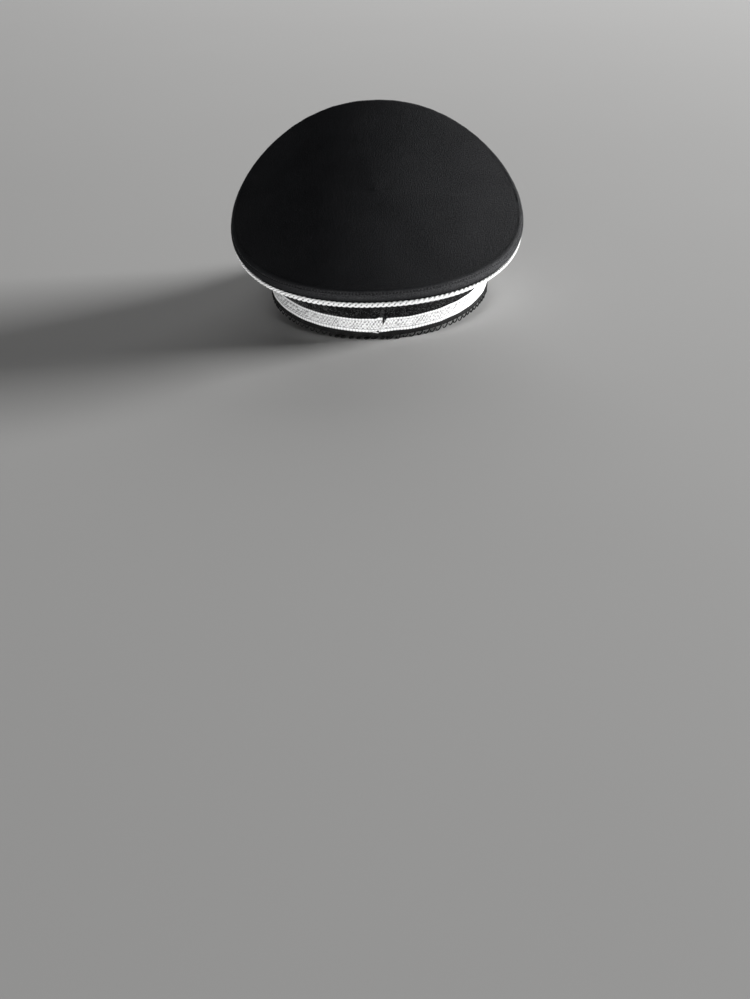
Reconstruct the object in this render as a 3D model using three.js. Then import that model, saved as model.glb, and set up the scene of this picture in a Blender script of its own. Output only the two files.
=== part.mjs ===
// A peaked service cap in black cloth with white piping and a silver-white lace ribbon.
// Millimetres. The cap is drawn upright on its band (x to the right, y to the peak, z up)
// and then leans back as it rests: on the rear of its edge trim and the front of its peak.

import * as THREE from 'three';
import { mergeVertices } from 'three/addons/utils/BufferGeometryUtils.js';

// Head band: an oval tube of cloth
const bandHalfWidth = 91;
const bandHalfDepth = 109.5;
const bandThickness = 2.4;
const bandBottom = 2.8;
const bandTop = 34.5;

// Lace ribbon round the band, its ends lapped at the centre back
const laceBottom = 6.4;
const laceTop = 17.2;
const laceThickness = 0.7;
const laceLapDegrees = 3;
const laceLapCentre = 180;

// Braid on the lower edge of the band, whose loops the cap stands on
const trimBottom = 0;
const trimTop = 5.9;
const trimThickness = 1.2;

// Crown edge: the rolled edge that a round former inside keeps in shape
const crownHalfWidth = 117.5;
const crownHalfDepth = 130;
const crownRoundness = 2.13;
const crownMeanHeight = 72;
const crownFrontRise = 33.5;
const crownSaddle = 9.8;
const crownFrontPoint = 1.2;
const rollRadius = 5.5;
const clothThickness = 1.6;
const rollSeamAngle = 92;
const rollEndAngle = -100;
const topDome = 7;

// Piping under the roll
const pipingRadius = 2.2;
const pipingOut = 3.1;
const pipingDown = 7.4;

// Quarters: the four side panels, each from one seam to the next, degrees from the front
const quarters = [
  { name: 'quarter_front', from: -48, to: 48 },
  { name: 'quarter_right', from: 48, to: 132 },
  { name: 'quarter_back', from: 132, to: 228 },
  { name: 'quarter_left', from: 228, to: 312 },
];
const quarterBulge = THREE.MathUtils.degToRad(8);
const quarterEdgeOut = 0.55;
const quarterEdgeDown = 7;

// Peak: a stiff leather crescent, sewn under the front of the band
const peakHalfAngle = 62;
const peakReach = 48;
const peakEndReach = 2;
const peakThickness = 2.4;
const peakFullness = 0.75;
const peakArch = 1.2;
const peakEdgeDrop = 29.2;
const peakEdgeRise = 3.2;
const peakWeltWidth = 2.2;
const peakRootWidth = 1.8;
const peakBinding = 3.5;
const peakPlateSteps = 4;

// Clearance between touching pieces, and how much the soft parts flatten where they rest
const gap = 0.3;
const restFlattening = 0.4;

// Steps of the meshes
const ringStep = 6;
const ringSteps = 360 / ringStep;
const quarterSteps = 5;
const rollSteps = 8;
const domeShares = [0, 0.3, 0.6, 0.85];
const peakSteps = 24;
const pipingSides = 8;
const pipingSteps = 72;

// Finishes
const blackCloth = { color: 0x15161a, roughness: 0.95, metalness: 0 };
const blackBraid = { color: 0x101012, roughness: 0.8, metalness: 0 };
const whiteCord = { color: 0xe8e8ea, roughness: 0.6, metalness: 0 };
const silverLace = { color: 0xd9dade, roughness: 0.5, metalness: 0.2 };
const blackLeather = { color: 0x0b0b0d, roughness: 0.2, metalness: 0 };

// A point of an oval seen from above, moved outwards by a distance. The angle runs from
// the front, +y, to the right, +x, and a roundness of 2 is an ellipse.
function ovalPoint(halfWidth, halfDepth, roundness, degrees, outwards = 0) {
  const angle = THREE.MathUtils.degToRad(degrees);
  const power = (value, exponent) => Math.sign(value) * Math.abs(value) ** exponent;
  const across = power(Math.sin(angle), 2 / roundness);
  const along = power(Math.cos(angle), 2 / roundness);
  const direction = new THREE.Vector2(
    power(across, roundness - 1) / halfWidth,
    power(along, roundness - 1) / halfDepth,
  ).normalize();
  return new THREE.Vector2(halfWidth * across, halfDepth * along)
    .addScaledVector(direction, outwards);
}

function bandPoint(degrees, outwards, height) {
  const point = ovalPoint(bandHalfWidth, bandHalfDepth, 2, degrees, outwards);
  return new THREE.Vector3(point.x, point.y, height);
}

// Height of the crown's surface: share is 0 at its middle and 1 at its edge
function crownHeight(degrees, share) {
  const angle = THREE.MathUtils.degToRad(degrees);
  return crownMeanHeight
    + crownFrontRise * share * Math.cos(angle)
    + crownSaddle * share ** 2 * Math.cos(2 * angle)
    + crownFrontPoint * share ** 3 * Math.cos(3 * angle);
}

// A point near the crown's edge: out and up are measured from the centre of the roll
function edgePoint(degrees, out, up) {
  const point = ovalPoint(crownHalfWidth, crownHalfDepth, crownRoundness, degrees, out);
  return new THREE.Vector3(point.x, point.y, crownHeight(degrees, 1) + up);
}

// The lean of the resting cap, from the rear of the trim to the front of the peak
const rearReach = bandHalfDepth + gap + trimThickness;
const frontReach = bandHalfDepth + peakReach;
const restLean = Math.atan2(peakEdgeDrop, rearReach + frontReach);
const restLift = rearReach * Math.sin(restLean) - restFlattening;

function heightAtRest(point) {
  return point.y * Math.sin(restLean) + point.z * Math.cos(restLean) + restLift;
}

// What would sink into the surface below is pressed flat on it
function pressFlat(point) {
  const sunk = Math.min(heightAtRest(point), 0);
  point.z -= sunk / Math.cos(restLean);
  return point;
}

// A closed sheet between an outer and an inner grid of points, rows across and columns along.
// A ring closes on itself along its columns; a pole brings the first row to one point.
function sheetGeometry(outer, inner, { ring = false, pole = false } = {}) {
  const rows = outer.length;
  const columns = outer[rows - 1].length;
  const positions = [];
  const index = [];
  const firstOf = [];
  for (const grid of [outer, inner]) {
    const starts = grid.map((row) => {
      const start = positions.length / 3;
      row.forEach((point) => positions.push(...pressFlat(point.clone()).toArray()));
      return start;
    });
    firstOf.push(starts);
  }
  const vertex = (side, row, column) => {
    const single = pole && row === 0;
    return firstOf[side][row] + (single ? 0 : column % columns);
  };
  const triangle = (a, b, c) => {
    if (a !== b && b !== c && a !== c) {
      index.push(a, b, c);
    }
  };
  const quad = (a, b, c, d) => {
    triangle(a, b, c);
    triangle(a, c, d);
  };
  const spans = ring ? columns : columns - 1;
  for (let row = 0; row < rows - 1; row += 1) {
    for (let column = 0; column < spans; column += 1) {
      const next = column + 1;
      quad(
        vertex(0, row, column), vertex(0, row, next),
        vertex(0, row + 1, next), vertex(0, row + 1, column),
      );
      quad(
        vertex(1, row, column), vertex(1, row + 1, column),
        vertex(1, row + 1, next), vertex(1, row, next),
      );
    }
    if (!ring) {
      const last = columns - 1;
      quad(
        vertex(0, row, 0), vertex(0, row + 1, 0),
        vertex(1, row + 1, 0), vertex(1, row, 0),
      );
      quad(
        vertex(0, row, last), vertex(1, row, last),
        vertex(1, row + 1, last), vertex(0, row + 1, last),
      );
    }
  }
  for (let column = 0; column < spans; column += 1) {
    const next = column + 1;
    const last = rows - 1;
    quad(
      vertex(0, last, column), vertex(0, last, next),
      vertex(1, last, next), vertex(1, last, column),
    );
    if (!pole) {
      quad(
        vertex(0, 0, column), vertex(1, 0, column),
        vertex(1, 0, next), vertex(0, 0, next),
      );
    }
  }
  const geometry = new THREE.BufferGeometry();
  geometry.setAttribute('position', new THREE.Float32BufferAttribute(positions, 3));
  geometry.setIndex(index);
  return geometry;
}

// Angles from one to another in equal steps
function angles(from, to, steps) {
  return Array.from({ length: steps + 1 }, (_, step) => from + ((to - from) * step) / steps);
}

const roundAngles = angles(0, 360 - ringStep, ringSteps - 1);

// An upright ring round the head
function bandRing(innerOut, outerOut, bottom, top) {
  const wall = (out) => [top, bottom].map(
    (height) => roundAngles.map((degrees) => bandPoint(degrees, out, height)),
  );
  return sheetGeometry(wall(outerOut), wall(innerOut), { ring: true });
}

function laceGeometry() {
  const start = laceLapCentre + laceLapDegrees / 2;
  const along = [
    ...angles(start, start + 360 - laceLapDegrees, ringSteps).map(
      (degrees) => ({ degrees, lift: 0 }),
    ),
    { degrees: start + 360 - laceLapDegrees / 2, lift: 1 },
    { degrees: start + 360 + laceLapDegrees / 2, lift: 1 },
  ];
  const wall = (out) => [laceTop, laceBottom].map(
    (height) => along.map(
      ({ degrees, lift }) => bandPoint(degrees, out + lift * (laceThickness + gap), height),
    ),
  );
  return sheetGeometry(wall(gap + laceThickness), wall(gap));
}

// The top: a domed cloth sheet that rolls over the crown's edge
function topGeometry() {
  const dome = (radius) => domeShares.map((share) => {
    const row = share === 0 ? [0] : roundAngles;
    return row.map((degrees) => {
      const point = ovalPoint(crownHalfWidth, crownHalfDepth, crownRoundness, degrees);
      const height = crownHeight(degrees, share) + topDome * (1 - share ** 2) + radius;
      return new THREE.Vector3(point.x * share, point.y * share, height);
    });
  });
  const roll = (radius) => angles(rollSeamAngle, rollEndAngle, rollSteps).map((turn) => {
    const angle = THREE.MathUtils.degToRad(turn);
    return roundAngles.map(
      (degrees) => edgePoint(degrees, radius * Math.cos(angle), radius * Math.sin(angle)),
    );
  });
  const surface = (radius) => [...dome(radius), ...roll(radius)];
  return sheetGeometry(surface(rollRadius), surface(rollRadius - clothThickness), {
    ring: true,
    pole: true,
  });
}

// A side panel: a curved strip of cloth from the band's top edge out to the piping
function quarterGeometry({ from, to }) {
  const seamHalfGap = THREE.MathUtils.radToDeg(gap / 2 / bandHalfWidth);
  const along = angles(from, to, Math.round((to - from) / ringStep));
  along[0] += seamHalfGap;
  along[along.length - 1] -= seamHalfGap;
  const half = clothThickness / 2;
  const columns = along.map((degrees) => {
    const foot = bandPoint(degrees, 0, bandTop + gap);
    const head = edgePoint(degrees, 0, -quarterEdgeDown);
    const outwards = new THREE.Vector3(head.x - foot.x, head.y - foot.y, 0);
    const chordAngle = Math.atan2(head.z - foot.z, outwards.length());
    outwards.normalize();
    const place = (origin, out, up) => {
      const point = origin.clone().addScaledVector(outwards, out);
      point.z += up;
      return point;
    };
    const footAngle = chordAngle - quarterBulge;
    const headAngle = chordAngle + quarterBulge;
    const start = place(foot, -half - 0.75 * half * Math.cos(footAngle), half * Math.cos(footAngle));
    const end = place(head, quarterEdgeOut - half * Math.sin(headAngle), half * Math.sin(headAngle));
    const pull = start.distanceTo(end) / 3;
    const curve = new THREE.CubicBezierCurve3(
      start,
      place(start, pull * Math.cos(footAngle), pull * Math.sin(footAngle)),
      place(end, -pull * Math.cos(headAngle), -pull * Math.sin(headAngle)),
      end,
    );
    const up = new THREE.Vector3(0, 0, 1);
    return (side) => angles(0, 1, quarterSteps).map((share) => {
      const tangent = curve.getTangent(share);
      const inwards = outwards.clone().multiplyScalar(-tangent.z)
        .addScaledVector(up, tangent.dot(outwards));
      return curve.getPoint(share).addScaledVector(inwards.normalize(), side * half);
    }).reverse();
  });
  const grid = (side) => {
    const byColumn = columns.map((column) => column(side));
    return byColumn[0].map((_, row) => byColumn.map((column) => column[row]));
  };
  return sheetGeometry(grid(-1), grid(1));
}

function pipingGeometry() {
  const points = roundAngles.map((degrees) => edgePoint(degrees, pipingOut, -pipingDown));
  const route = new THREE.CatmullRomCurve3(points, true);
  return new THREE.TubeGeometry(route, pipingSteps, pipingRadius, pipingSides, true);
}

// The peak: rows run from the welt under the band to the bound front edge
function peakGeometry() {
  const endRest = heightAtRest(bandPoint(peakHalfAngle, peakEndReach, -gap - peakThickness));
  const restingAt = (point, rest) => {
    const height = (rest - point.y * Math.sin(restLean) - restLift) / Math.cos(restLean);
    return new THREE.Vector3(point.x, point.y, height);
  };
  const columns = angles(-1, 1, peakSteps).map((share) => {
    const degrees = share * peakHalfAngle;
    const fullness = Math.cos((share * Math.PI) / 2) ** peakFullness;
    const reach = peakEndReach + (peakReach - peakEndReach) * fullness;
    const root = Math.min(peakRootWidth, reach / 3);
    const bindingStart = reach - Math.min(peakBinding, reach / 3);
    const edgeRest = endRest * Math.abs(share) ** peakEdgeRise - restFlattening;
    const edge = restingAt(bandPoint(degrees, reach, 0), edgeRest);
    const drop = edge.z + gap + peakThickness;
    const plate = [...angles(root, bindingStart, peakPlateSteps), reach].map((out) => {
      const part = (out - root) / (reach - root);
      return bandPoint(degrees, out, -gap + drop * part ** peakArch);
    });
    const underside = plate.map((point, row) => (row < peakPlateSteps
      ? new THREE.Vector3(point.x, point.y, point.z - peakThickness)
      : restingAt(point, edgeRest)));
    const top = [
      bandPoint(degrees, -peakWeltWidth, bandBottom - gap),
      bandPoint(degrees, 0, bandBottom - gap),
      bandPoint(degrees, 0, -gap),
      ...plate,
    ];
    const bottom = [
      bandPoint(degrees, -peakWeltWidth, -gap - peakThickness),
      bandPoint(degrees, -peakWeltWidth / 2, -gap - peakThickness),
      bandPoint(degrees, 0, -gap - peakThickness),
      ...underside,
    ];
    return { top, bottom };
  });
  const grid = (side) => columns[0][side].map(
    (_, row) => columns.map((column) => column[side][row]),
  );
  return sheetGeometry(grid('top'), grid('bottom'));
}

// One named piece; its shared points are merged so that it is one closed body
function piece(name, geometry, finish) {
  geometry.deleteAttribute('normal');
  geometry.deleteAttribute('uv');
  const body = mergeVertices(geometry);
  body.computeVertexNormals();
  const mesh = new THREE.Mesh(body, new THREE.MeshStandardMaterial(finish));
  mesh.name = name;
  return mesh;
}

function crown() {
  const group = new THREE.Group();
  group.add(piece('top_panel', topGeometry(), blackCloth));
  group.add(piece('crown_piping', pipingGeometry(), whiteCord));
  quarters.forEach((quarter) => {
    group.add(piece(quarter.name, quarterGeometry(quarter), blackCloth));
  });
  return group;
}

function headBand() {
  const group = new THREE.Group();
  const trimOut = gap + trimThickness;
  group.add(piece('band', bandRing(-bandThickness, 0, bandBottom, bandTop), blackCloth));
  group.add(piece('lace_band', laceGeometry(), silverLace));
  group.add(piece('edge_trim', bandRing(gap, trimOut, trimBottom, trimTop), blackBraid));
  return group;
}

// The whole cap, leaning as it rests, with the middle of its box over the origin
const cap = new THREE.Group();
cap.add(crown(), headBand(), piece('peak', peakGeometry(), blackLeather));
cap.rotation.x = restLean;
cap.position.z = restLift;
const box = new THREE.Box3().setFromObject(cap, true);
cap.position.y = -(box.min.y + box.max.y) / 2;

export default cap;
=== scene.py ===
import math
import bpy
import numpy as np
from mathutils import Matrix, Vector


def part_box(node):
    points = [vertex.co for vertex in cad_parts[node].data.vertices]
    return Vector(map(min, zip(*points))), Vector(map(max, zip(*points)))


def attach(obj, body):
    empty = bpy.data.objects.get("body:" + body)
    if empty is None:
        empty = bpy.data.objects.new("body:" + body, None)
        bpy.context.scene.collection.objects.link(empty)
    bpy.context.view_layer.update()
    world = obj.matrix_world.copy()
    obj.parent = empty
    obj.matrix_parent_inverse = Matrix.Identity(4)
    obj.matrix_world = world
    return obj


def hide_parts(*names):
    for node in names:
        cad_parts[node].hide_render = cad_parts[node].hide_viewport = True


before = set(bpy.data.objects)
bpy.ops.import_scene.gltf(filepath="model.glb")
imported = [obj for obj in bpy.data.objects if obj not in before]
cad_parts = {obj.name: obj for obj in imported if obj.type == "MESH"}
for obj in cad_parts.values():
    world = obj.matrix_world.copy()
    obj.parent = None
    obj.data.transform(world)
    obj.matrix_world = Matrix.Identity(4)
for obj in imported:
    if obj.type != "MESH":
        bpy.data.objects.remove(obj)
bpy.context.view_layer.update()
print("Loaded the packed cap with", len(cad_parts), "parts")

# Sizes in millimetres, with the cap upright on its band: x to the right, y to the peak, z up.
# Angles run from the front towards the right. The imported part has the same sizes.
capForm = {
    "bandHalfWidth": 91,
    "bandHalfDepth": 109.5,
    "bandBottom": 2.8,
    "bandTop": 34.5,
    "crownHalfWidth": 117.5,
    "crownHalfDepth": 130,
    "crownRoundness": 2.13,
    "crownHeight": 72,
    "frontRise": 33.5,
    "saddle": 9.8,
    "frontPoint": 1.2,
    "rearReach": 111,
    "frontReach": 157.5,
    "peakDrop": 29.2,
    "restSink": 0.4,
    "gap": 0.3,
}
restLean = math.atan2(capForm["peakDrop"], capForm["rearReach"] + capForm["frontReach"])
restLift = capForm["rearReach"] * math.sin(restLean) - capForm["restSink"]
restShift = (
    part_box("band")[0][1] * 1000
    + capForm["bandHalfDepth"] * math.cos(restLean)
    + capForm["bandTop"] * math.sin(restLean)
)


def heightAtRest(y, z):
    return y * math.sin(restLean) + z * math.cos(restLean) + restLift


def restingHeight(y, rest):
    return (rest - y * math.sin(restLean) - restLift) / math.cos(restLean)


# Hat sizes to the resting cap in metres; what would sink into the table is pressed flat on it
def asItRests(points):
    x, y, z = np.moveaxis(np.asarray(points, float), -1, 0)
    back = y * math.cos(restLean) - z * math.sin(restLean) + restShift
    return np.stack([x, back, np.maximum(heightAtRest(y, z), 0)], -1) / 1000


def unit(vectors):
    return vectors / np.linalg.norm(vectors, axis=-1, keepdims=True)


# Each direction made square to the way ahead
def squareTo(ahead, directions):
    return unit(directions - (directions * ahead).sum(-1, keepdims=True) * ahead)


def pairs(first, second):
    return np.stack(np.broadcast_arrays(first, second), -1)


def signedPower(values, exponent):
    return np.sign(values) * np.abs(values) ** exponent


def ovalPoint(halfWidth, halfDepth, roundness, degrees, outwards=0.0):
    angle = np.radians(degrees)
    halves = np.array([halfWidth, halfDepth])
    place = signedPower(np.stack([np.sin(angle), np.cos(angle)], -1), 2 / roundness)
    facing = unit(signedPower(place, roundness - 1) / halves)
    return halves * place + np.asarray(outwards)[..., None] * facing, facing


def withHeight(flat, height):
    shape = np.broadcast_shapes(flat.shape[:-1], np.shape(height))
    flat = np.broadcast_to(flat, shape + (2,))
    return np.concatenate([flat, np.broadcast_to(height, shape)[..., None]], -1)


def bandOval(degrees, outwards=0.0):
    return ovalPoint(capForm["bandHalfWidth"], capForm["bandHalfDepth"], 2, degrees, outwards)


def bandPoint(degrees, outwards, height):
    return withHeight(bandOval(degrees, outwards)[0], height)


def bandFacing(degrees):
    return withHeight(bandOval(degrees)[1], 0.0)


def crownOval(degrees, outwards=0.0):
    halves = capForm["crownHalfWidth"], capForm["crownHalfDepth"]
    return ovalPoint(*halves, capForm["crownRoundness"], degrees, outwards)


# Height of the crown: share is 0 in its middle and 1 at its edge
def crownHeight(degrees, share):
    angle = np.radians(degrees)
    return (
        capForm["crownHeight"]
        + capForm["frontRise"] * share * np.cos(angle)
        + capForm["saddle"] * share**2 * np.cos(2 * angle)
        + capForm["frontPoint"] * share**3 * np.cos(3 * angle)
    )


def edgePoint(degrees, out, up):
    return withHeight(crownOval(degrees, out)[0], crownHeight(degrees, 1) + up)


# The angle at each distance along a closed line round the cap, and the line's whole length.
# Every line starts at the centre back.
class RoundLine:
    def __init__(self, place):
        self.degrees = np.linspace(150, 570, 16801)
        steps = np.linalg.norm(np.diff(place(self.degrees), axis=0), axis=1)
        self.run = np.concatenate([[0], np.cumsum(steps)])
        self.run -= np.interp(180, self.degrees, self.run)
        self.length = float(np.interp(540, self.degrees, self.run))

    def at(self, distance):
        return np.interp(distance, self.run, self.degrees)


bandLine = RoundLine(lambda degrees: bandPoint(degrees, 0, 0))
edgeLine = RoundLine(lambda degrees: edgePoint(degrees, 0, 0))


# A seeded unevenness round the cap: smooth, between about -1 and 1, and the same each run
def unevenness(degrees, seed, slowest, fastest):
    random = np.random.default_rng(seed)
    waves = np.arange(slowest, fastest + 1)
    phases = random.uniform(0, 2 * np.pi, len(waves))
    sizes = random.uniform(0.4, 1, len(waves)) / np.sqrt(len(waves) / 2)
    angle = np.radians(np.asarray(degrees, float))
    return sum(size * np.cos(wave * angle + phase) for wave, phase, size in zip(waves, phases, sizes))


def smoothStep(values, low, high):
    share = np.clip((values - low) / (high - low), 0, 1)
    return share * share * (3 - 2 * share)


def hump(away, width):
    return np.exp(-((away / width) ** 2))


# The outside of a wall and then its inside the other way, so that the section closes
def closeWall(outer, inner):
    return np.concatenate([outer, inner[:, ::-1]], 1)


def pointMarks(marks, shape):
    return {key: np.broadcast_to(value, shape).reshape(-1) for key, value in (marks or {}).items()}


def addObject(name, data):
    added = bpy.data.objects.new(name, data)
    bpy.context.scene.collection.objects.link(added)
    return added


# One mesh object from points in millimetres. maps holds UVs face by face, marks one value a point.
def makePiece(name, points, faces, maps, marks, material, sharpAngle=50):
    placed = asItRests(points)
    volume = 0
    for block in faces:
        for corner in range(1, block.shape[1] - 1):
            a, b, c = (placed[block[:, k]] for k in (0, corner, corner + 1))
            volume += np.einsum("ij,ij->", a, np.cross(b, c))
    if volume < 0:
        faces = [block[:, ::-1] for block in faces]
        maps = [block[:, ::-1] for block in maps]
    mesh = bpy.data.meshes.new(name)
    mesh.from_pydata(placed.tolist(), [], [face for block in faces for face in block.tolist()])
    flat = np.concatenate([block.reshape(-1, 2) for block in maps])
    layer = mesh.uv_layers.new(name="lay")
    layer.data.foreach_set("uv", (flat / 1000).astype(np.float32).ravel())
    for key, values in marks.items():
        mark = mesh.attributes.new(key, "FLOAT", "POINT")
        mark.data.foreach_set("value", np.asarray(values, np.float32).ravel())
    mesh.polygons.foreach_set("use_smooth", np.ones(len(mesh.polygons), bool))
    mesh.set_sharp_from_angle(angle=math.radians(sharpAngle))
    mesh.update()
    mesh.materials.append(material)
    return addObject(name, mesh)


# A closed skin through columns of points, each a loop round the wall's section. A ring joins its
# last column to its first; a dome has open loops, which run from one middle point to another.
def wallPiece(name, grid, lay, material, marks=None, ring=False, dome=False, period=0, **more):
    columns, rows = grid.shape[:2]
    index = np.arange(columns * rows).reshape(columns, rows)
    if ring:
        lay = np.concatenate([lay, lay[:1] + [period, 0]])
    if not dome:
        lay = np.concatenate([lay, lay[:, -1:] + [0, 1]], 1)
    across, down = (columns if ring else columns - 1), (rows - 1 if dome else rows)
    c, k = (part.ravel() for part in np.meshgrid(np.arange(across), np.arange(down), indexing="ij"))
    corners = [(c, k), (c + 1, k), (c + 1, k + 1), (c, k + 1)]
    faces = [np.stack([index[i % columns, j % rows] for i, j in corners], 1)]
    maps = [np.stack([lay[i, j] for i, j in corners], 1)]
    points = grid.reshape(-1, 3)
    marks = pointMarks(marks, (columns, rows))
    if dome:
        points = np.concatenate([points, [grid[:, 0].mean(0), grid[:, -1].mean(0)]])
        marks = {key: np.concatenate([value, [value[0], value[rows - 1]]]) for key, value in marks.items()}
        c = np.arange(columns)
        for row, middle, order in ((0, columns * rows, 1), (rows - 1, columns * rows + 1, -1)):
            fan = np.stack([np.full(columns, middle), index[(c + 1) % columns, row], index[c, row]], 1)
            centre = np.broadcast_to(lay[:columns, row].mean(0), (columns, 2))
            faces.append(fan[:, ::order])
            maps.append(np.stack([centre, lay[c + 1, row], lay[c, row]], 1)[:, ::order])
    elif not ring:
        faces += [index[:1, :], index[-1:, ::-1]]
        maps += [lay[:1, :rows], lay[columns - 1 : columns, rows - 1 :: -1]]
    return makePiece(name, points, faces, maps, marks, material, **more)


# Round strands along many paths at once: paths is (strands, points, 3) and facing points out of each
def strandPiece(name, paths, radii, facing, sides, material, closed=False, marks=None):
    strands, count = paths.shape[:2]
    ahead = np.roll(paths, -1, 1) - np.roll(paths, 1, 1) if closed else np.gradient(paths, axis=1)
    ahead = unit(ahead)
    normal = squareTo(ahead, facing)
    beside = np.cross(ahead, normal)
    turn = np.arange(sides) * 2 * np.pi / sides
    radii = np.broadcast_to(radii, (strands, count))
    ring = np.cos(turn)[:, None] * normal[:, :, None] + np.sin(turn)[:, None] * beside[:, :, None]
    grid = paths[:, :, None] + radii[..., None, None] * ring
    index = np.arange(strands * count * sides).reshape(strands, count, sides)
    steps = np.linalg.norm(np.diff(paths, axis=1, append=paths[:, :1]), axis=-1)
    run = np.concatenate([np.zeros((strands, 1)), np.cumsum(steps, 1)], 1)
    spans = [np.arange(size) for size in (strands, count if closed else count - 1, sides)]
    n, p, s = (part.ravel() for part in np.meshgrid(*spans, indexing="ij"))
    corners = [(p, s), (p + 1, s), (p + 1, s + 1), (p, s + 1)]
    faces = [np.stack([index[n, i % count, j % sides] for i, j in corners], 1)]
    width = 2 * np.pi * radii.max() / sides
    maps = [np.stack([np.stack([run[n, i], j * width], -1) for i, j in corners], 1)]
    if not closed:
        for end, order in ((0, -1), (count - 1, 1)):
            faces.append(index[:, end, ::order])
            maps.append(np.zeros((strands, sides, 2)))
    marks = pointMarks(marks, grid.shape[:3])
    return makePiece(name, grid.reshape(-1, 3), faces, maps, marks, material, 80)


# Strands on the band, from their distance along it, out from it and above its foot
def bandStrands(name, along, out, heights, radii, sides, material, lean=(0, 0, 0), closed=False):
    degrees = bandLine.at(along)
    paths = bandPoint(degrees, out, heights)
    return strandPiece(name, paths, radii, bandFacing(degrees) + lean, sides, material, closed)


# Nodes. Every tree made here is listed, to be set out in columns at the end.
madeTrees = []


def setInputs(tree, node, inputs):
    for key, value in inputs.items():
        if isinstance(value, bpy.types.NodeSocket):
            tree.links.new(value, node.inputs[key])
        else:
            node.inputs[key].default_value = value


def addNode(tree, kind, inputs=None, **settings):
    node = tree.nodes.new(kind)
    for key, value in settings.items():
        setattr(node, key, value)
    setInputs(tree, node, inputs or {})
    return node


def calc(tree, operation, *values):
    return addNode(tree, "ShaderNodeMath", dict(enumerate(values)), operation=operation).outputs[0]


def blend(tree, share, first, second):
    first, second = ((*end, 1) if isinstance(end, tuple) else end for end in (first, second))
    return addNode(tree, "ShaderNodeMix", {0: share, 6: first, 7: second}, data_type="RGBA").outputs[2]


def spread(tree, value, low, high, toLow=0.0, toHigh=1.0):
    ends = {"Value": value, "From Min": low, "From Max": high, "To Min": toLow, "To Max": toHigh}
    return addNode(tree, "ShaderNodeMapRange", ends).outputs[0]


def stretch(tree, place, factors):
    return addNode(tree, "ShaderNodeVectorMath", {0: place, 1: factors}, operation="MULTIPLY").outputs[0]


def noise(tree, place, scale, detail, distortion=0.0):
    inputs = {"Vector": place, "Scale": scale, "Detail": detail, "Distortion": distortion}
    return addNode(tree, "ShaderNodeTexNoise", inputs).outputs[0]


def uvMap(tree, name):
    return addNode(tree, "ShaderNodeUVMap", uv_map=name).outputs[0]


def newGroup(name, inputs):
    tree = bpy.data.node_groups.new(name, "ShaderNodeTree")
    madeTrees.append(tree)
    for label, value in inputs.items():
        kind = "NodeSocketVector" if value is None else "NodeSocketFloat"
        socket = tree.interface.new_socket(name=label, in_out="INPUT", socket_type=kind)
        if value is not None:
            socket.default_value = value
    return tree, addNode(tree, "NodeGroupInput").outputs


def finishGroup(tree, results):
    for label in results:
        tree.interface.new_socket(name=label, in_out="OUTPUT", socket_type="NodeSocketFloat")
    addNode(tree, "NodeGroupOutput", results)
    return tree


# Woven threads: slanting ribs with cross threads, laid along the cloth's own directions
def makeWeave():
    tree, given = newGroup(
        "wovenThreads", {"Lay": None, "Threads per mm": 1.4, "Slant": 1.0, "Unevenness": 0.4}
    )
    scaled = stretch(tree, given["Lay"], calc(tree, "MULTIPLY", given["Threads per mm"], 1000.0))
    apart = addNode(tree, "ShaderNodeSeparateXYZ", {0: scaled}).outputs
    shift = calc(tree, "MULTIPLY", noise(tree, scaled, 0.35, 2.0), given["Unevenness"])
    slanted = calc(tree, "MULTIPLY_ADD", apart[1], given["Slant"], apart[0])
    doubled = calc(tree, "MULTIPLY", apart[1], 2.0)
    waves = []
    for start in (slanted, doubled):
        phase = calc(tree, "MULTIPLY", calc(tree, "ADD", start, shift), 2 * math.pi)
        waves.append(calc(tree, "SINE", phase))
    both = calc(tree, "MULTIPLY_ADD", waves[1], 0.35, waves[0])
    tone = noise(tree, stretch(tree, scaled, (0.9, 0.07, 1)), 1.0, 2.0)
    return finishGroup(
        tree, {"Height": spread(tree, both, -1.35, 1.35), "Thread Tone": spread(tree, tone, 0.3, 0.7)}
    )


# Nap: loose fibres on the surface, slow mottling and stray lint
def makeNap():
    tree, given = newGroup(
        "napAndDust", {"Place": None, "Fibre mm": 0.5, "Patch mm": 30.0, "Dust": 0.2}
    )
    fine = calc(tree, "DIVIDE", 1000.0, given["Fibre mm"])
    broad = calc(tree, "DIVIDE", 1000.0, given["Patch mm"])
    fibres = noise(tree, stretch(tree, given["Place"], (1, 0.6, 1)), fine, 2.0, 0.4)
    patches = noise(tree, given["Place"], broad, 3.0)
    speck = spread(tree, noise(tree, given["Place"], 620.0, 1.0), 0.69, 0.74)
    lint = calc(tree, "MULTIPLY", speck, spread(tree, patches, 0.45, 0.65))
    results = {
        "Height": fibres,
        "Mottle": spread(tree, patches, 0.32, 0.68),
        "Dust": calc(tree, "MULTIPLY", lint, given["Dust"]),
    }
    return finishGroup(tree, results)


# Rubbing: where the mesh is marked as rubbed, worn through in uneven patches
def makeRubbing():
    tree, given = newGroup("rubbedEdges", {"Place": None, "Rub": 0.0, "Amount": 0.5, "Grain mm": 2.0})
    grain = noise(tree, given["Place"], calc(tree, "DIVIDE", 1000.0, given["Grain mm"]), 4.0)
    rubbed = calc(tree, "MULTIPLY", given["Rub"], given["Amount"])
    return finishGroup(tree, {"Worn": calc(tree, "MULTIPLY", rubbed, spread(tree, grain, 0.33, 0.66))})


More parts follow.
